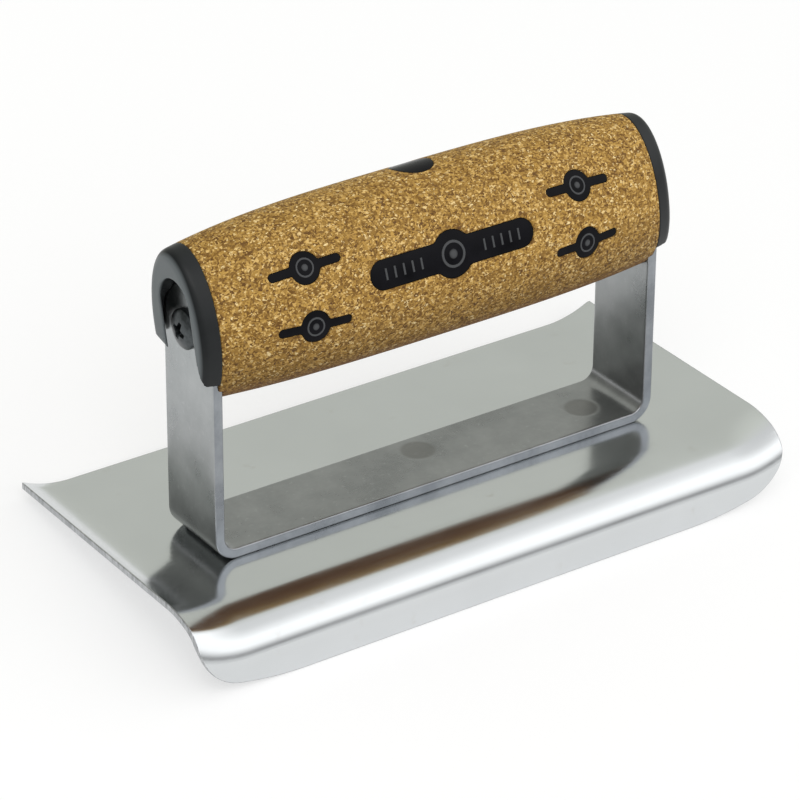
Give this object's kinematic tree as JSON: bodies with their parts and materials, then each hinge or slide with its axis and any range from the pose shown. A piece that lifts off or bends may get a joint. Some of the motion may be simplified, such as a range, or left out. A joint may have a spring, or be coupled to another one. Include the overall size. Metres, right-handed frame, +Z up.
{
  "type": "concrete hand edger",
  "caption": "Hand edger for concrete: sheet-metal blade with turned-up ends and a rounded edging lip, welded flat-bar bracket and cork-covered handle with rubber caps.",
  "frame": {"origin": "on the blade's flat working underside, below the middle of the handle's screw axis", "axes": "+X along the blade's length, the edging lip on the -Y side, +Z up from the working face to the handle"},
  "size_m": [0.1524, 0.0732, 0.0869],
  "materials": {
    "blade_steel": "polished stainless sheet",
    "bracket_steel": "tumbled flat bar with weld marks",
    "cork": "granular cork composite, satin",
    "cap_rubber": "satin moulded rubber",
    "core_plastic": "moulded, unseen",
    "inlay_plastic": "gloss moulded inlay",
    "screw_steel": "black oxide",
    "insert_brass": "turned"
  },
  "bodies": {
    "root": {"blade": "blade_steel", "bracket": "bracket_steel", "handle_core": "core_plastic", "cork_sleeve": "cork", "cap_left": "cap_rubber", "cap_right": "cap_rubber", "screw_left": "screw_steel", "screw_right": "screw_steel", "insert_left": "insert_brass", "insert_right": "insert_brass", "plaque_front": "inlay_plastic", "plaque_back": "inlay_plastic", "inlay_top": "inlay_plastic", "inlay_front_upper_left": "inlay_plastic", "inlay_front_lower_left": "inlay_plastic", "inlay_front_upper_right": "inlay_plastic", "inlay_front_lower_right": "inlay_plastic", "inlay_back_upper_left": "inlay_plastic", "inlay_back_lower_left": "inlay_plastic", "inlay_back_upper_right": "inlay_plastic", "inlay_back_lower_right": "inlay_plastic"}
  },
  "joints": []
}
